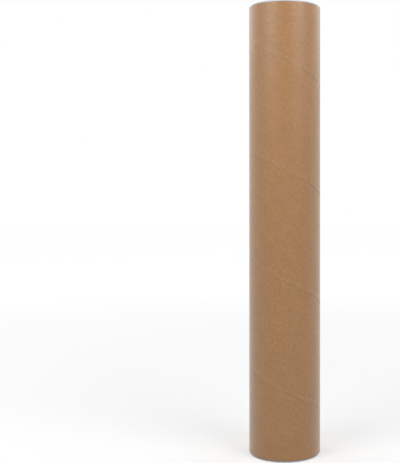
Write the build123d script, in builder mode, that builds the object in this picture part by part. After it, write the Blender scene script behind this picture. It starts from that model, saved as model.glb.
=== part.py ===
from build123d import *
import os
from math import ceil, radians, tan

# Paper tube, spiral-wound from kraft board and cut square at both ends
tube_length = 330.0
bore_diameter = 50.0
tube_wall = 1.5
cut_edge_chamfer = 0.15

# Butt seam of the outer ply, a left-handed helix that crosses the front above the lower end
seam_pitch = 79.6
seam_front_height = 49.1
seam_width = 0.8
seam_depth = 0.2

# End cap, a cup moulded in soft plastic, alike at both ends
flange_thickness = 1.2
flange_cover_share = 0.5
rim_chamfer = 0.4
cup_depth = 10.0
cup_draft_angle = 1.5
floor_thickness = 1.2
floor_corner_chamfer = 0.6
skirt_wall = 1.1
nose_lead_in = 0.8

# Grip barbs round the skirt, which bite into the bore
barb_count = 2
barb_height = 0.45
fit_clearance = 0.15

# Sizes that follow from the ones above
bore_radius = bore_diameter / 2
outer_radius = bore_radius + tube_wall
lower_seat = flange_thickness
upper_seat = lower_seat + tube_length
flange_radius = bore_radius + tube_wall * flange_cover_share
rim_height = upper_seat + flange_thickness
cup_floor = rim_height - cup_depth
nose_height = cup_floor - floor_thickness
grip_radius = bore_radius - fit_clearance
skirt_radius = grip_radius - barb_height
mouth_radius = skirt_radius - skirt_wall
cup_floor_radius = mouth_radius - cup_depth * tan(radians(cup_draft_angle))
barb_pitch = (upper_seat - nose_height) / (barb_count + 1)

# The seam starts at the right side, a quarter turn and whole turns below its crossing of the front,
# and it runs out of both ends
quarter_turn_share = 0.25
turns_to_front = ceil(seam_front_height / seam_pitch) + quarter_turn_share
seam_start = lower_seat + seam_front_height - turns_to_front * seam_pitch
seam_rise = upper_seat + seam_pitch - seam_start

# Paper tube
with BuildPart() as paper_tube:
    with BuildSketch(Plane.XY.offset(lower_seat)):
        Circle(outer_radius)
        Circle(bore_radius, mode=Mode.SUBTRACT)
    extrude(amount=tube_length)
    chamfer(paper_tube.edges().filter_by(GeomType.CIRCLE), length=cut_edge_chamfer)
    with BuildLine(Plane.XY.offset(seam_start)) as seam:
        Helix(seam_pitch, seam_rise, outer_radius, lefthand=True)
    with BuildSketch(Plane(origin=seam.line @ 0, x_dir=(1, 0, 0), z_dir=seam.line % 0)):
        Rectangle(2 * seam_depth, seam_width)
    sweep(path=seam.line, is_frenet=True, mode=Mode.SUBTRACT)

# Outline of the cap's half section, from the cup's mouth round to its floor
cap_outline = [
    (mouth_radius, rim_height),
    (flange_radius, rim_height),
    (flange_radius, upper_seat),
    (skirt_radius, upper_seat),
]
for barb in range(1, barb_count + 1):
    shoulder = upper_seat - barb * barb_pitch
    cap_outline += [(skirt_radius, shoulder), (grip_radius, shoulder)]
cap_outline += [
    (skirt_radius - nose_lead_in, nose_height),
    (0, nose_height),
    (0, cup_floor),
    (cup_floor_radius, cup_floor),
]

# Top cap
with BuildPart() as top_cap:
    with BuildSketch(Plane.XZ):
        with BuildLine():
            Polyline(*cap_outline, close=True)
        make_face()
    revolve(axis=Axis.Z)
    circles = top_cap.edges().filter_by(GeomType.CIRCLE)
    chamfer(circles.group_by(Axis.Z)[-1], length=rim_chamfer)
    floor_corner = top_cap.edges().filter_by_position(Axis.Z, cup_floor, cup_floor)
    chamfer(floor_corner, length=floor_corner_chamfer)

# Bottom cap, the same moulding turned to face down
with BuildPart() as bottom_cap:
    mirror(top_cap.part, about=Plane.XY.offset(rim_height / 2))

os.makedirs("parts", exist_ok=True)
for name, piece in {"paper_tube": paper_tube, "top_cap": top_cap, "bottom_cap": bottom_cap}.items():
    piece.part.label = name
    export_step(piece.part, f"parts/{name}.step")
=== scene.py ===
import bmesh
import bpy
from math import acos, atan2, cos, hypot, pi, radians, sin, tan
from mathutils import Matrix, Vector


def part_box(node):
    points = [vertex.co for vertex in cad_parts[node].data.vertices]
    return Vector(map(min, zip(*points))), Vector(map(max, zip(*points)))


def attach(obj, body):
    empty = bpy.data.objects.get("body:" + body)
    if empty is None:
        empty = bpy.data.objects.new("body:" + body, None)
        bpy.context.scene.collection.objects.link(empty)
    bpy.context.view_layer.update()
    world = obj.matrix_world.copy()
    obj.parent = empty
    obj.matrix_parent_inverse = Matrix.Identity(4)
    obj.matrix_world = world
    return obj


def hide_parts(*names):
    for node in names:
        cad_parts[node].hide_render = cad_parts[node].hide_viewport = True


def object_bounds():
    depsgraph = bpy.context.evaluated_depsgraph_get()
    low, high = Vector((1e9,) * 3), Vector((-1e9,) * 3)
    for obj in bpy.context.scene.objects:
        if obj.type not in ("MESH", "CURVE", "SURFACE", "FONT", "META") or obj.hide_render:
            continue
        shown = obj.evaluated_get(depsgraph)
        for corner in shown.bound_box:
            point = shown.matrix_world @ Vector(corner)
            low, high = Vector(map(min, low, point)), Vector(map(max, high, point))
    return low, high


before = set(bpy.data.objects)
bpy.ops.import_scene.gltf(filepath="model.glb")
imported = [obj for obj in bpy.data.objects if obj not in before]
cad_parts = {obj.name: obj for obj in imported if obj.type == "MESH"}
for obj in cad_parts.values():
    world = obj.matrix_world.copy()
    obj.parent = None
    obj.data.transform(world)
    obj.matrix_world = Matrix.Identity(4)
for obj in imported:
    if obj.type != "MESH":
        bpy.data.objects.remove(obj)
cad_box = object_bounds()

# Paper tube
# A tube of kraft board, wound on a mandrel from glued plies that climb as a left-handed helix.
# The edges of the outer ply meet in a butt seam, and a saw cuts both ends square. The bore is lined
# with a plainer ply, and the cut ends show the plies as fine rings.
tube_low, tube_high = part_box("paper_tube")
outer_radius = max(tube_high.x, tube_high.y)
board_wall = 0.0015
bore_radius = outer_radius - board_wall
cut_edge_round = 0.00015

# Helix of the butt seam, with its groove and lifted upper edge as shares of the seam's width
seam_pitch = 0.0796
seam_rise_at_front = 0.0491
seam_front_height = tube_low.z + seam_rise_at_front
seam_width = 0.0008
seam_depth = 0.0002
edge_lift = 0.00005
groove_shares = (0.1, 0.5)
lifted_edge_shares = (0.0, 0.6, 1.2, 5.0)
lining_seam_offset = 0.027
lining_front_height = seam_front_height + lining_seam_offset
lining_seam_depth = -0.00015
lining_edge_lift = -0.00002

# How the seam opens and closes along its way, per millimetre, and more at the right and the back
opening_scale = 0.13
opening_limits = (0.46, 0.80)
right_limits = (0.2, 1.0)
back_limits = (-0.7, -0.1)
open_side_share = 0.28

tube_columns = 160
rows_per_ply = 40
row_crowding = 2.5
merge_distance = 1e-6
cut_edge_steps = 4
cut_face_steps = 6

kraft_pale = (0.441, 0.224, 0.086, 1.0)
kraft_deep = (0.326, 0.160, 0.059, 1.0)
kraft_fleck = (0.215, 0.112, 0.052, 1.0)
# Seam colours: a painted shadow on and below the seam, and a painted highlight where the lifted edge
# above it catches the light
seam_shadow = (0.250, 0.128, 0.058, 1.0)
seam_highlight = (0.520, 0.330, 0.190, 1.0)
board_pale = (0.300, 0.205, 0.130, 1.0)
board_deep = (0.160, 0.105, 0.066, 1.0)
lining_pale = (0.390, 0.250, 0.140, 1.0)
lining_deep = (0.290, 0.175, 0.092, 1.0)

full_turn = 2.0 * pi
mm_per_metre = 1000.0


def add_node(tree, kind, inputs=None, **settings):
    """Add a node with its settings, and feed its inputs from other nodes or with plain values."""
    node = tree.nodes.new(kind)
    for name, value in settings.items():
        setattr(node, name, value)
    for name, source in (inputs or {}).items():
        if isinstance(source, bpy.types.NodeSocket):
            tree.links.new(source, node.inputs[name])
        else:
            node.inputs[name].default_value = source
    return node


def figure(tree, operation, *terms):
    """One step of arithmetic on sockets or plain numbers."""
    return add_node(tree, "ShaderNodeMath", dict(enumerate(terms)), operation=operation).outputs[0]


def vector_figure(tree, operation, inputs):
    """One step of arithmetic on vectors. Returns the outputs, first the vector and then the number."""
    return add_node(tree, "ShaderNodeVectorMath", inputs, operation=operation).outputs


def ramp(tree, value, start, end, low=0.0, high=1.0):
    """A smooth step of a value from low to high between start and end."""
    limits = {"Value": value, "From Min": start, "From Max": end, "To Min": low, "To Max": high}
    return add_node(tree, "ShaderNodeMapRange", limits, interpolation_type="SMOOTHSTEP").outputs[0]


def band(tree, value, start, full, fade, end):
    """A smooth rise from 0 to 1 between start and full, and back to 0 between fade and end."""
    rise = ramp(tree, value, start, full)
    fall = ramp(tree, value, fade, end, 1.0, 0.0)
    return figure(tree, "MULTIPLY", rise, fall)


def noise(tree, position, scale, detail=2.0, roughness=0.5):
    """Noise over a position, from 0 to 1 and about 0.5 on average."""
    inputs = {"Vector": position, "Scale": scale, "Detail": detail, "Roughness": roughness}
    return add_node(tree, "ShaderNodeTexNoise", inputs).outputs[0]


def noise_along(tree, place, scale, detail=1.0):
    """Noise along a line, from 0 to 1 and about 0.5 on average."""
    inputs = {"W": place, "Scale": scale, "Detail": detail}
    return add_node(tree, "ShaderNodeTexNoise", inputs, noise_dimensions="1D").outputs[0]


def mix_colour(tree, factor, first, second):
    """A colour between two others."""
    inputs = {0: factor, 6: first, 7: second}
    return add_node(tree, "ShaderNodeMix", inputs, data_type="RGBA").outputs[2]


def new_group(name, kind, inputs, outputs):
    """A node tree with these named sockets. Returns it with the sockets to read and to feed."""
    tree = bpy.data.node_groups.new(name, kind)
    for socket, socket_type in inputs.items():
        tree.interface.new_socket(socket, in_out="INPUT", socket_type=socket_type)
    for socket, socket_type in outputs.items():
        tree.interface.new_socket(socket, in_out="OUTPUT", socket_type=socket_type)
    return tree, tree.nodes.new("NodeGroupInput").outputs, tree.nodes.new("NodeGroupOutput").inputs


def plies_above_front(tree, given, height):
    """How many seam pitches a height lies above the seam's crossing of the front."""
    rise = figure(tree, "SUBTRACT", height, given["Seam Front Height"])
    return figure(tree, "DIVIDE", rise, given["Seam Pitch"])


def ply_sizes(tree, given):
    """The length of one turn of the seam, and the width of the ply square to it."""
    girth = figure(tree, "MULTIPLY", given["Radius"], full_turn)
    girth_squared = figure(tree, "POWER", girth, 2.0)
    pitch_squared = figure(tree, "POWER", given["Seam Pitch"], 2.0)
    turn_length = figure(tree, "SQRT", figure(tree, "ADD", girth_squared, pitch_squared))
    lean = figure(tree, "DIVIDE", girth, turn_length)
    return turn_length, figure(tree, "MULTIPLY", given["Seam Pitch"], lean)


def from_nearest_seam(tree, plies_up, turn, turn_length, ply_width):
    """How far a point lies above the nearest seam, and how far along it."""
    nearest_seam = figure(tree, "ROUND", plies_up)
    above = figure(tree, "MULTIPLY", figure(tree, "SUBTRACT", plies_up, nearest_seam), ply_width)
    along = figure(tree, "MULTIPLY", figure(tree, "SUBTRACT", turn, nearest_seam), turn_length)
    return above, along


def seam_openness(tree, along, turn):
    """How far a seam stands open, from 0 to 1: it comes and goes, and lies closest at the front left."""
    angle = figure(tree, "MULTIPLY", turn, full_turn)
    right = ramp(tree, figure(tree, "SINE", angle), *right_limits, 0.0, open_side_share)
    back = ramp(tree, figure(tree, "COSINE", angle), *back_limits, open_side_share, 0.0)
    open_side = figure(tree, "MAXIMUM", right, back)
    waver = noise_along(tree, figure(tree, "MULTIPLY", along, mm_per_metre), opening_scale)
    return ramp(tree, figure(tree, "ADD", waver, open_side), *opening_limits)


# Wound ply: a grid whose rows follow the helix and crowd towards the seam, rolled to a cylinder
wound_ply, given, result = new_group(
    "wound ply",
    "GeometryNodeTree",
    {
        "Radius": "NodeSocketFloat",
        "Lower End": "NodeSocketFloat",
        "Upper End": "NodeSocketFloat",
        "Seam Pitch": "NodeSocketFloat",
        "Seam Front Height": "NodeSocketFloat",
        "Seam Width": "NodeSocketFloat",
        "Seam Depth": "NodeSocketFloat",
        "Edge Lift": "NodeSocketFloat",
        "Row Crowding": "NodeSocketFloat",
        "Columns": "NodeSocketInt",
        "Rows per Ply": "NodeSocketInt",
        "Faces Inwards": "NodeSocketBool",
        "Material": "NodeSocketMaterial",
    },
    {"Geometry": "NodeSocketGeometry"},
)
lowest_ply = figure(wound_ply, "FLOOR", plies_above_front(wound_ply, given, given["Lower End"]))
highest_ply = figure(wound_ply, "CEIL", plies_above_front(wound_ply, given, given["Upper End"]))
plies = figure(wound_ply, "ADD", figure(wound_ply, "SUBTRACT", highest_ply, lowest_ply), 1.0)
rows = figure(wound_ply, "MULTIPLY", plies, given["Rows per Ply"])
grid = add_node(
    wound_ply,
    "GeometryNodeMeshGrid",
    {
        "Size X": 1.0,
        "Size Y": 1.0,
        "Vertices X": figure(wound_ply, "ADD", given["Columns"], 1.0),
        "Vertices Y": figure(wound_ply, "ADD", rows, 1.0),
    },
).outputs["Mesh"]

# The grid's width is one turn round the tube, and its height is the stack of plies
grid_place = add_node(wound_ply, "GeometryNodeInputPosition").outputs[0]
flat_place = add_node(wound_ply, "ShaderNodeSeparateXYZ", {"Vector": grid_place}).outputs
turn = figure(wound_ply, "ADD", flat_place["X"], 0.5)
row = figure(wound_ply, "MULTIPLY", figure(wound_ply, "ADD", flat_place["Y"], 0.5), plies)
ply = figure(wound_ply, "FLOOR", row)
from_middle = figure(wound_ply, "MULTIPLY_ADD", figure(wound_ply, "SUBTRACT", row, ply), 2.0, -1.0)
to_seam = figure(wound_ply, "SUBTRACT", 1.0, figure(wound_ply, "ABSOLUTE", from_middle))
spread = figure(wound_ply, "POWER", to_seam, given["Row Crowding"])
crowded = figure(wound_ply, "SUBTRACT", 1.0, spread)
either_side = figure(wound_ply, "MULTIPLY", figure(wound_ply, "SIGN", from_middle), crowded)
across = figure(wound_ply, "MULTIPLY_ADD", either_side, 0.5, 0.5)
rows_up = figure(wound_ply, "ADD", figure(wound_ply, "ADD", ply, lowest_ply), across)
pitches_up = figure(wound_ply, "SUBTRACT", rows_up, turn)
climb = figure(wound_ply, "MULTIPLY_ADD", pitches_up, given["Seam Pitch"], given["Seam Front Height"])
height = figure(wound_ply, "MAXIMUM", climb, given["Lower End"])
height = figure(wound_ply, "MINIMUM", height, given["Upper End"])

# The seam's groove sinks the surface, and all but the lifted edge lies a little lower
plies_up = figure(wound_ply, "ADD", plies_above_front(wound_ply, given, height), turn)
above_seam, along_seam = from_nearest_seam(wound_ply, plies_up, turn, *ply_sizes(wound_ply, given))
openness = seam_openness(wound_ply, along_seam, turn)
seam_share = figure(wound_ply, "DIVIDE", above_seam, given["Seam Width"])
gap = ramp(wound_ply, figure(wound_ply, "ABSOLUTE", seam_share), *groove_shares, 1.0, 0.0)
groove = figure(wound_ply, "MULTIPLY", gap, openness)
lifted = figure(wound_ply, "MULTIPLY", band(wound_ply, seam_share, *lifted_edge_shares), openness)
groove_depth = figure(wound_ply, "MULTIPLY", groove, given["Seam Depth"])
lying = figure(wound_ply, "MULTIPLY", figure(wound_ply, "SUBTRACT", 1.0, lifted), given["Edge Lift"])
sunk = figure(wound_ply, "ADD", groove_depth, lying)

# Rolled up, merged where the turn closes, and given its paper
ply_radius = figure(wound_ply, "SUBTRACT", given["Radius"], sunk)
angle = figure(wound_ply, "MULTIPLY", turn, full_turn)
rightwards = figure(wound_ply, "SINE", angle)
backwards = figure(wound_ply, "MULTIPLY", figure(wound_ply, "COSINE", angle), -1.0)
rolled_place = add_node(
    wound_ply,
    "ShaderNodeCombineXYZ",
    {
        "X": figure(wound_ply, "MULTIPLY", ply_radius, rightwards),
        "Y": figure(wound_ply, "MULTIPLY", ply_radius, backwards),
        "Z": height,
    },
).outputs[0]
rolled = add_node(
    wound_ply,
    "GeometryNodeSetPosition",
    {"Geometry": grid, "Position": rolled_place},
).outputs[0]
closed = add_node(
    wound_ply,
    "GeometryNodeMergeByDistance",
    {"Geometry": rolled, "Distance": merge_distance},
).outputs[0]
turned = add_node(
    wound_ply,
    "GeometryNodeFlipFaces",
    {"Mesh": closed, "Selection": given["Faces Inwards"]},
).outputs[0]
realized = add_node(wound_ply, "GeometryNodeRealizeInstances", {"Geometry": turned}).outputs[0]
finished = add_node(
    wound_ply,
    "GeometryNodeSetMaterial",
    {"Geometry": realized, "Material": given["Material"]},
).outputs[0]
wound_ply.links.new(finished, result["Geometry"])

# Ply coordinates: where a point lies on its wound ply and above its seam, in millimetres
ply_coordinates, given, result = new_group(
    "ply coordinates",
    "ShaderNodeTree",
    {
        "Radius": "NodeSocketFloat",
        "Seam Pitch": "NodeSocketFloat",
        "Seam Front Height": "NodeSocketFloat",
    },
    {
        "Place on Ply": "NodeSocketVector",
        "Above Seam": "NodeSocketFloat",
        "Seam Openness": "NodeSocketFloat",
    },
)
place = add_node(ply_coordinates, "ShaderNodeTexCoord").outputs["Object"]
place = add_node(ply_coordinates, "ShaderNodeSeparateXYZ", {0: place}).outputs
forwards = figure(ply_coordinates, "MULTIPLY", place["Y"], -1.0)
angle = figure(ply_coordinates, "ARCTAN2", place["X"], forwards)
turn = figure(ply_coordinates, "DIVIDE", angle, full_turn)
plies_up = figure(ply_coordinates, "ADD", plies_above_front(ply_coordinates, given, place["Z"]), turn)
turn_length, ply_width = ply_sizes(ply_coordinates, given)
above_seam, along_seam = from_nearest_seam(ply_coordinates, plies_up, turn, turn_length, ply_width)
turns_along = figure(ply_coordinates, "SUBTRACT", turn, figure(ply_coordinates, "FLOOR", plies_up))
share_across = figure(ply_coordinates, "FRACT", plies_up)
on_ply = add_node(
    ply_coordinates,
    "ShaderNodeCombineXYZ",
    {
        "X": figure(ply_coordinates, "MULTIPLY", turns_along, turn_length),
        "Y": figure(ply_coordinates, "MULTIPLY", share_across, ply_width),
    },
).outputs[0]
on_ply_mm = vector_figure(ply_coordinates, "SCALE", {0: on_ply, "Scale": mm_per_metre})[0]
above_seam_mm = figure(ply_coordinates, "MULTIPLY", above_seam, mm_per_metre)
ply_coordinates.links.new(on_ply_mm, result["Place on Ply"])
ply_coordinates.links.new(above_seam_mm, result["Above Seam"])
ply_coordinates.links.new(seam_openness(ply_coordinates, along_seam, turn), result["Seam Openness"])

# Kraft fibres: cloudy formation, streaks along the web, dark flecks and the felted surface
streak_stretch = (0.12, 1.6, 1.0)
fibre_stretch = (0.8, 5.0, 1.0)
fibre_slant = 12.0
tone_detail = 3.0
tone_limits = (0.40, 1.00)
fleck_scale = 0.55
fleck_limits = (0.70, 0.78)

kraft_fibres, given, result = new_group(
    "kraft fibres",
    "ShaderNodeTree",
    {"Place": "NodeSocketVector"},
    {"Tone": "NodeSocketFloat", "Flecks": "NodeSocketFloat", "Height": "NodeSocketFloat"},
)
streak_place = add_node(
    kraft_fibres,
    "ShaderNodeMapping",
    {"Vector": given["Place"], "Scale": streak_stretch},
).outputs[0]
fibre_place = add_node(
    kraft_fibres,
    "ShaderNodeMapping",
    {"Vector": given["Place"], "Rotation": (0.0, 0.0, radians(fibre_slant)), "Scale": fibre_stretch},
).outputs[0]

# Layers of the tone, each with its place, its scale per millimetre, its roughness and its share
tone_layers = {
    "clouds": (given["Place"], 0.09, 0.55, 0.28),
    "formation": (given["Place"], 0.45, 0.55, 0.65),
    "streaks": (streak_place, 1.0, 0.6, 0.20),
    "fibres": (fibre_place, 1.0, 0.6, 0.27),
}
layers = {}
tone = 0.0
for name, (layer_place, scale, roughness, share) in tone_layers.items():
    layers[name] = noise(kraft_fibres, layer_place, scale, tone_detail, roughness)
    tone = figure(kraft_fibres, "MULTIPLY_ADD", layers[name], share, tone)
flecks = ramp(kraft_fibres, noise(kraft_fibres, fibre_place, fleck_scale), *fleck_limits)
felt = figure(kraft_fibres, "ADD", layers["fibres"], layers["formation"])
kraft_fibres.links.new(ramp(kraft_fibres, tone, *tone_limits), result["Tone"])
kraft_fibres.links.new(flecks, result["Flecks"])
kraft_fibres.links.new(felt, result["Height"])


def new_material(name):
    """A node material. Returns it with its tree and its shader."""
    material = bpy.data.materials.new(name)
    material.use_nodes = True
    return material, material.node_tree, material.node_tree.nodes["Principled BSDF"]


def bump(tree, height, strength, distance):
    """A normal that follows a height."""
    inputs = {"Height": height, "Strength": strength, "Distance": distance}
    return add_node(tree, "ShaderNodeBump", inputs).outputs[0]


# Paper of a ply, with a painted highlight on the lifted edge above its seam and a painted shadow on and
# below the seam, their bands in millimetres above the seam
fleck_share = 0.30
highlight_band = (0.6, 1.8, 2.0, 4.2)
highlight_share = 0.20
highlight_waver_scale = 0.35
highlight_waver_limits = (0.35, 0.65)
shadow_band = (-1.8, -0.4, 0.1, 0.7)
shadow_shares = (0.05, 0.36)
paper_roughness = (0.44, 0.36)
paper_bump = (0.25, 0.00004)
paper_sheen = 0.52
paper_sheen_roughness = 0.5


def ply_paper(name, radius, front_height, pale, deep):
    """The paper of a wound ply: its fibres, a wavering painted highlight on the lifted edge above its
    butt seam, and a painted shadow on the seam.
    """
    material, tree, shader = new_material(name)
    sizes = {"Radius": radius, "Seam Pitch": seam_pitch, "Seam Front Height": front_height}
    winding = add_node(tree, "ShaderNodeGroup", sizes, node_tree=ply_coordinates).outputs
    on_ply = {"Place": winding["Place on Ply"]}
    paper = add_node(tree, "ShaderNodeGroup", on_ply, node_tree=kraft_fibres).outputs
    colour = mix_colour(tree, paper["Tone"], deep, pale)
    flecks = figure(tree, "MULTIPLY", paper["Flecks"], fleck_share)
    colour = mix_colour(tree, flecks, colour, kraft_fleck)
    # Painted highlight on the lifted edge above the seam, where it catches the light from above; it
    # wavers along the seam
    highlight_waver = noise(tree, winding["Place on Ply"], highlight_waver_scale)
    highlight_strength = ramp(tree, highlight_waver, *highlight_waver_limits, 0.0, highlight_share)
    highlight_mask = figure(tree, "MULTIPLY", band(tree, winding["Above Seam"], *highlight_band), highlight_strength)
    colour = mix_colour(tree, highlight_mask, colour, seam_highlight)
    # Painted shadow on and below the seam, stronger where the seam stands open
    opened = ramp(tree, winding["Seam Openness"], 0.0, 1.0, *shadow_shares)
    shadow = figure(tree, "MULTIPLY", band(tree, winding["Above Seam"], *shadow_band), opened)
    colour = mix_colour(tree, shadow, colour, seam_shadow)
    tree.links.new(colour, shader.inputs["Base Color"])
    tree.links.new(ramp(tree, paper["Tone"], 0.0, 1.0, *paper_roughness), shader.inputs["Roughness"])
    tree.links.new(bump(tree, paper["Height"], *paper_bump), shader.inputs["Normal"])
    shader.inputs["Sheen Weight"].default_value = paper_sheen
    shader.inputs["Sheen Roughness"].default_value = paper_sheen_roughness
    return material


kraft_paper = ply_paper("kraft_paper", outer_radius, seam_front_height, kraft_pale, kraft_deep)
bore_lining = ply_paper("bore_lining", bore_radius, lining_front_height, lining_pale, lining_deep)


def place_in_mm(tree):
    """A point's place on its piece, in millimetres."""
    place = add_node(tree, "ShaderNodeTexCoord").outputs["Object"]
    return vector_figure(tree, "SCALE", {0: place, "Scale": mm_per_metre})[0]


# Sawn board: the plies as wavering rings with a glue line between them
ring_mm = 0.3
ring_waver_share = 0.3
ring_waver_scale = 0.5
glue_line_share = 0.22
glue_share = 0.7
cut_roughness = (0.9, 0.75)
cut_bump = (0.6, 0.00006)

cut_board, tree, shader = new_material("cut_board")
place_mm = place_in_mm(tree)
level_place = vector_figure(tree, "MULTIPLY", {0: place_mm, 1: (1.0, 1.0, 0.0)})[0]
from_axis = vector_figure(tree, "LENGTH", {0: level_place})[1]
paper = add_node(tree, "ShaderNodeGroup", {"Place": place_mm}, node_tree=kraft_fibres).outputs
waver = figure(tree, "MULTIPLY", noise(tree, place_mm, ring_waver_scale), ring_waver_share)
rings = figure(tree, "ADD", figure(tree, "DIVIDE", from_axis, ring_mm), waver)
glue_line = ramp(tree, figure(tree, "PINGPONG", rings, 0.5), 0.0, glue_line_share, 1.0, 0.0)
colour = mix_colour(tree, paper["Tone"], board_deep, board_pale)
colour = mix_colour(tree, figure(tree, "MULTIPLY", glue_line, glue_share), colour, board_deep)
cut_height = figure(tree, "SUBTRACT", paper["Height"], glue_line)
tree.links.new(colour, shader.inputs["Base Color"])
tree.links.new(ramp(tree, paper["Tone"], 0.0, 1.0, *cut_roughness), shader.inputs["Roughness"])
tree.links.new(bump(tree, cut_height, *cut_bump), shader.inputs["Normal"])


def wind_ply(name, sizes):
    """Work the wound ply out at these sizes, and hand back its plain mesh."""
    former = bpy.data.objects.new(name, bpy.data.meshes.new(name))
    bpy.context.scene.collection.objects.link(former)
    winding = former.modifiers.new("wound ply", "NODES")
    winding.node_group = wound_ply
    for item in wound_ply.interface.items_tree:
        if item.in_out == "INPUT":
            winding[item.identifier] = sizes[item.name]
    worked_out = former.evaluated_get(bpy.context.evaluated_depsgraph_get())
    mesh = bpy.data.meshes.new_from_object(worked_out)
    former.modifiers.remove(winding)
    bpy.data.objects.remove(former)
    return mesh


shared_sizes = {
    "Lower End": tube_low.z + cut_edge_round,
    "Upper End": tube_high.z - cut_edge_round,
    "Seam Pitch": seam_pitch,
    "Seam Width": seam_width,
    "Row Crowding": row_crowding,
    "Columns": tube_columns,
    "Rows per Ply": rows_per_ply,
}
outer_ply = wind_ply(
    "outer_ply",
    {
        **shared_sizes,
        "Radius": outer_radius,
        "Seam Front Height": seam_front_height,
        "Seam Depth": seam_depth,
        "Edge Lift": edge_lift,
        "Faces Inwards": False,
        "Material": kraft_paper,
    },
)
lining_ply = wind_ply(
    "lining_ply",
    {
        **shared_sizes,
        "Radius": bore_radius,
        "Seam Front Height": lining_front_height,
        "Seam Depth": lining_seam_depth,
        "Edge Lift": lining_edge_lift,
        "Faces Inwards": True,
        "Material": bore_lining,
    },
)


def open_rim(faces, upper):
    """The vertices round one open end of a ply, in order of their angle from the front."""
    edges = {edge for face in faces for edge in face.edges if edge.is_boundary}
    corners = {corner for edge in edges for corner in edge.verts}
    middle = (tube_low.z + tube_high.z) / 2
    rim = [corner for corner in corners if (corner.co.z > middle) == upper]
    return sorted(rim, key=lambda corner: atan2(corner.co.x, -corner.co.y))


def cut_section(outer, inner, end, inwards):
    """Points of the sawn end between one vertex of the outer ply and one of the lining."""
    outside = hypot(outer.co.x, outer.co.y)
    inside = hypot(inner.co.x, inner.co.y)
    edge = []
    for step in range(1, cut_edge_steps + 1):
        bend = step / cut_edge_steps * pi / 2
        edge.append((cut_edge_round * (1 - cos(bend)), end + inwards * cut_edge_round * (1 - sin(bend))))
    outside_flat = outside - cut_edge_round
    flat_width = inside + cut_edge_round - outside_flat
    outer_edge = [(outside - back, level) for back, level in edge]
    flat = [(outside_flat + flat_width * step / cut_face_steps, end) for step in range(1, cut_face_steps)]
    inner_edge = [(inside + back, level) for back, level in reversed(edge)]
    return outer_edge + flat + inner_edge


# The outer ply, the two sawn ends and the lining, joined to one closed shell
tube_finishes = (kraft_paper, cut_board, bore_lining)
outer_slot, cut_slot, lining_slot = range(len(tube_finishes))
shell = bmesh.new()
shell.from_mesh(outer_ply)
outer_faces = list(shell.faces)
shell.from_mesh(lining_ply)
lining_faces = list(shell.faces)[len(outer_faces):]
for faces, finish_slot in ((outer_faces, outer_slot), (lining_faces, lining_slot)):
    for face in faces:
        face.material_index = finish_slot
for upper, end, inwards in ((False, tube_low.z, 1.0), (True, tube_high.z, -1.0)):
    outer_rim = open_rim(outer_faces, upper)
    lining_rim = open_rim(lining_faces, upper)
    sections = []
    for outer, inner in zip(outer_rim, lining_rim):
        bearing = atan2(outer.co.x, -outer.co.y)
        middle = [
            shell.verts.new((radius * sin(bearing), -radius * cos(bearing), level))
            for radius, level in cut_section(outer, inner, end, inwards)
        ]
        sections.append([outer, *middle, inner])
    for section, following in zip(sections, sections[1:] + sections[:1]):
        for near in range(len(section) - 1):
            far = near + 1
            corners = (section[near], following[near], following[far], section[far])
            face = shell.faces.new(corners if upper else corners[::-1])
            face.material_index = cut_slot
for face in shell.faces:
    face.smooth = True
tube_mesh = bpy.data.meshes.new("wound_tube")
shell.to_mesh(tube_mesh)
shell.free()
for finish in tube_finishes:
    tube_mesh.materials.append(finish)
wound_tube = bpy.data.objects.new("wound_tube", tube_mesh)
bpy.context.scene.collection.objects.link(wound_tube)
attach(wound_tube, "tube")
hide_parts("paper_tube")

# End caps
# Two alike cups of soft, pale polyethylene, injection moulded in one piece each. A thin flange stops
# the cup at the cut end of the tube, and two barbs round its skirt grip the bore. Nothing glues it.
cap_low, cap_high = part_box("top_cap")
flange_radius = max(cap_high.x, cap_high.y)
rim_height = cap_high.z
nose_height = cap_low.z
seat_height = tube_high.z
cup_depth = 0.010
cup_draft_angle = 1.5
cup_floor = rim_height - cup_depth
fit_clearance = 0.00015
barb_height = 0.00045
barb_count = 2
skirt_wall = 0.0011
nose_lead_in = 0.0008
grip_radius = bore_radius - fit_clearance
skirt_radius = grip_radius - barb_height
mouth_radius = skirt_radius - skirt_wall
cup_floor_radius = mouth_radius - cup_depth * tan(radians(cup_draft_angle))
barb_pitch = (seat_height - nose_height) / (barb_count + 1)

rim_round = 0.0004
floor_round = 0.0012
flange_round = 0.0002
barb_round = 0.00008
nose_round = 0.0003
gate_radius = 0.0016
gate_depth = 0.0003
gate_round = 0.0003
cap_columns = 160
corner_steps = 5
axis_limit = 1e-9

plastic_pale = (0.640, 0.680, 0.745, 1.0)
plastic_deep = (0.570, 0.615, 0.690, 1.0)
flow_scale = 0.11
flow_detail = 3.0
flow_limits = (0.3, 0.7)
peel_scale = 2.2
peel_detail = 3.0
peel_roughness = 0.6
plastic_roughness = (0.34, 0.46)
plastic_bump = (0.10, 0.00005)
plastic_depth = 0.0008
plastic_depth_weight = 0.35

# Half section of the cap: distance from the axis, height and rounding, from the gate mark to the nose
cap_corners = [
    (0.0, cup_floor - gate_depth, 0.0),
    (gate_radius, cup_floor - gate_depth, gate_round),
    (gate_radius + gate_depth, cup_floor, gate_round),
    (cup_floor_radius, cup_floor, floor_round),
    (mouth_radius, rim_height, rim_round),
    (flange_radius, rim_height, rim_round),
    (flange_radius, seat_height, flange_round),
    (skirt_radius, seat_height, flange_round),
]
for barb in range(1, barb_count + 1):
    shoulder = seat_height - barb * barb_pitch
    cap_corners += [(skirt_radius, shoulder, barb_round), (grip_radius, shoulder, barb_round)]
cap_corners += [
    (skirt_radius - nose_lead_in, nose_height, nose_round),
    (0.0, nose_height, 0.0),
]


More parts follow.
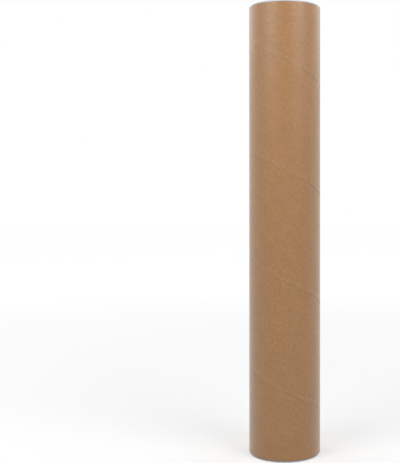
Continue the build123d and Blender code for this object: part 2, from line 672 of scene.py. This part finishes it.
def rounded_outline(corners):
    """An outline from corners given as distance from the axis, height and rounding."""
    points = []
    for index, (x, y, rounding) in enumerate(corners):
        corner = Vector((x, y))
        if rounding == 0.0:
            points.append(corner)
            continue
        back = (Vector(corners[index - 1][:2]) - corner).normalized()
        ahead = (Vector(corners[index + 1][:2]) - corner).normalized()
        half_angle = acos(max(-1.0, min(1.0, back.dot(ahead)))) / 2
        centre = corner + (back + ahead).normalized() * (rounding / sin(half_angle))
        start = corner + back * (rounding / tan(half_angle)) - centre
        finish = corner + ahead * (rounding / tan(half_angle)) - centre
        first = atan2(start.y, start.x)
        sweep = atan2(start.x * finish.y - start.y * finish.x, start.dot(finish))
        for step in range(corner_steps + 1):
            bearing = first + sweep * step / corner_steps
            points.append(centre + Vector((cos(bearing), sin(bearing))) * rounding)
    return points


def lathe(name, outline):
    """A closed mesh turned from an outline that starts and ends on the axis."""
    turned = bmesh.new()
    bearings = [full_turn * column / cap_columns for column in range(cap_columns)]
    rings = []
    for point in outline:
        if point.x < axis_limit:
            rings.append([turned.verts.new((0.0, 0.0, point.y))] * cap_columns)
            continue
        ring = [(point.x * sin(bearing), -point.x * cos(bearing), point.y) for bearing in bearings]
        rings.append([turned.verts.new(place) for place in ring])
    for lower, upper in zip(rings, rings[1:]):
        for column in range(cap_columns):
            following = (column + 1) % cap_columns
            loop = (lower[column], lower[following], upper[following], upper[column])
            # On the axis two corners are one vertex, and the face is a triangle
            face = turned.faces.new(dict.fromkeys(loop))
            face.smooth = True
    bmesh.ops.recalc_face_normals(turned, faces=turned.faces)
    mesh = bpy.data.meshes.new(name)
    turned.to_mesh(mesh)
    turned.free()
    return mesh


soft_plastic, tree, shader = new_material("soft_plastic")
place_mm = place_in_mm(tree)
flow = noise(tree, place_mm, flow_scale, flow_detail)
peel = noise(tree, place_mm, peel_scale, peel_detail, peel_roughness)
colour = mix_colour(tree, ramp(tree, flow, *flow_limits), plastic_deep, plastic_pale)
tree.links.new(colour, shader.inputs["Base Color"])
tree.links.new(ramp(tree, flow, *flow_limits, *plastic_roughness), shader.inputs["Roughness"])
tree.links.new(bump(tree, peel, *plastic_bump), shader.inputs["Normal"])
shader.inputs["Subsurface Weight"].default_value = plastic_depth_weight
shader.inputs["Subsurface Radius"].default_value = (1.0, 1.0, 1.0)
shader.inputs["Subsurface Scale"].default_value = plastic_depth

cap_outline = rounded_outline(cap_corners)
turned_over = [Vector((point.x, cad_box[1].z - point.y)) for point in cap_outline]
cap_places = (("bottom_cap", "bottom_cap", turned_over), ("top_cap", "top_cap", cap_outline))
for body, node, outline in cap_places:
    end_cap = bpy.data.objects.new("moulded_" + node, lathe("moulded_" + node, outline))
    end_cap.data.materials.append(soft_plastic)
    bpy.context.scene.collection.objects.link(end_cap)
    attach(end_cap, body)
    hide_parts(node)

# Studio
# A plain pale floor under soft light: a bright surround, two softboxes in front and above, and two
# fainter ones behind. The camera stands a little above the tube's middle and looks almost level,
# with the tube right of centre.
white = (1.0, 1.0, 1.0, 1.0)
black = (0.0, 0.0, 0.0, 1.0)
floor_half = 4.0
floor_level = cad_box[0].z
floor_colour = (0.55, 0.55, 0.55, 1.0)
floor_grain_scale = 3.0
floor_grain = (0.98, 1.0)
floor_roughness = 0.9
floor_lift_near = 0.45
floor_lift_far = 0.75
floor_lift_reach = 1.2


def backdrop_rays(tree):
    """1 for rays that show the backdrop: to the camera, in a reflection or through something clear."""
    rays = add_node(tree, "ShaderNodeLightPath").outputs
    direct = figure(tree, "MAXIMUM", rays["Is Camera Ray"], rays["Is Glossy Ray"])
    return figure(tree, "MAXIMUM", direct, rays["Is Transmission Ray"])


floor_signs = ((-1, -1), (1, -1), (1, 1), (-1, 1))
floor_corners = [(x * floor_half, y * floor_half, floor_level) for x, y in floor_signs]
floor_mesh = bpy.data.meshes.new("studio_floor")
floor_mesh.from_pydata(floor_corners, [], [(0, 1, 2, 3)])
floor_paint, tree, shader = new_material("floor_paint")
place = add_node(tree, "ShaderNodeTexCoord").outputs["Object"]
floor_tone = ramp(tree, noise(tree, place, floor_grain_scale), 0.0, 1.0, *floor_grain)
from_tube = vector_figure(tree, "LENGTH", {0: place})[1]
floor_lift = ramp(tree, from_tube, 0.0, floor_lift_reach, floor_lift_near, floor_lift_far)
lift_seen = figure(tree, "MULTIPLY", backdrop_rays(tree), floor_lift)
tree.links.new(mix_colour(tree, floor_tone, black, floor_colour), shader.inputs["Base Color"])
tree.links.new(lift_seen, shader.inputs["Emission Strength"])
shader.inputs["Emission Color"].default_value = white
shader.inputs["Roughness"].default_value = floor_roughness
shader.inputs["Specular IOR Level"].default_value = 0.0
floor_mesh.materials.append(floor_paint)
studio_floor = bpy.data.objects.new("studio_floor", floor_mesh)
bpy.context.scene.collection.objects.link(studio_floor)

surround_low = 0.39
surround_high = 0.47
surround_seen = 1.0
world = bpy.data.worlds.new("studio")
world.use_nodes = True
tree = world.node_tree
tree.nodes.clear()
direction = add_node(tree, "ShaderNodeTexCoord").outputs["Generated"]
direction = add_node(tree, "ShaderNodeSeparateXYZ", {0: direction}).outputs
glow = ramp(tree, direction["Z"], 0.0, 1.0, surround_low, surround_high)
glow_or_seen = {0: backdrop_rays(tree), 2: glow, 3: surround_seen}
strength = add_node(tree, "ShaderNodeMix", glow_or_seen, data_type="FLOAT").outputs[0]
surround = add_node(tree, "ShaderNodeBackground", {"Color": white, "Strength": strength}).outputs[0]
add_node(tree, "ShaderNodeOutputWorld", {"Surface": surround})
bpy.context.scene.world = world

# Softboxes by their bearing from the front and their power
tube_middle = Vector((0.0, 0.0, (cad_box[0].z + cad_box[1].z) / 2))
softbox_size = 0.36
softbox_reach = 0.50
softbox_height = 0.55
softboxes = {
    "front_right": (45.0, 1.65),
    "back_right": (130.0, 0.5),
    "back_left": (230.0, 0.6),
    "front_left": (315.0, 1.65),
}
for name, (bearing, watts) in softboxes.items():
    light = bpy.data.lights.new(name + "_softbox", "AREA")
    light.shape = "SQUARE"
    light.size = softbox_size
    light.energy = watts
    softbox = bpy.data.objects.new(name + "_softbox", light)
    softbox.location = (
        softbox_reach * sin(radians(bearing)),
        -softbox_reach * cos(radians(bearing)),
        softbox_height,
    )
    softbox.rotation_euler = (tube_middle - softbox.location).to_track_quat("-Z", "Y").to_euler()
    bpy.context.scene.collection.objects.link(softbox)

camera_distance = 0.6341
camera_height = 0.1947
camera_pitch = 0.433
camera_lens = 65.99
camera_shift_x = -0.1829
camera_shift_y = -0.072
camera_clip_start = 0.01
camera = bpy.data.objects.new("camera", bpy.data.cameras.new("camera"))
camera.location = (0.0, -camera_distance, camera_height)
camera.rotation_euler = (radians(90.0 - camera_pitch), 0.0, 0.0)
camera.data.lens = camera_lens
camera.data.shift_x = camera_shift_x
camera.data.shift_y = camera_shift_y
camera.data.clip_start = camera_clip_start
bpy.context.scene.collection.objects.link(camera)
bpy.context.scene.camera = camera
bpy.context.scene.view_settings.view_transform = "Standard"
